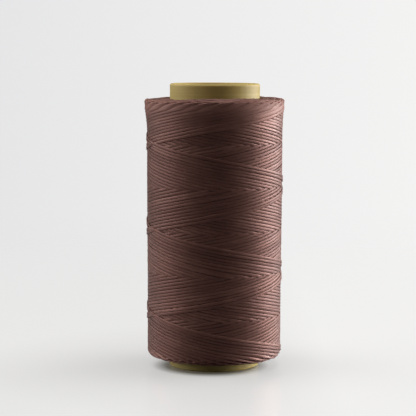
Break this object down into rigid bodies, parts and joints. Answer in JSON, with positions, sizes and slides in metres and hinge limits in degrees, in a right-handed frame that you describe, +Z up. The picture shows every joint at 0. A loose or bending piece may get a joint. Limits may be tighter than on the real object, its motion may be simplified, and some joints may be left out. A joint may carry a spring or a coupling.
{
  "type": "waxed thread spool",
  "caption": "Tall straight-sided spool of flat waxed sewing thread, cross-wound on an open plastic tube that sticks out above and below the thread.",
  "frame": {"origin": "centre of the tube's foot, on the surface that the spool stands on", "axes": "+Z up along the tube, X and Y across it, -Y towards the picture's viewer"},
  "size_m": [0.0526, 0.0526, 0.107],
  "materials": {
    "tube": "semi-gloss olive yellow, slightly translucent",
    "thread": "flat filament thread with a satin wax coat, reddish brown"
  },
  "bodies": {
    "root": {"core_tube": "tube", "thread_buried_layers": "thread", "thread_outermost_turns": "thread"}
  },
  "joints": []
}
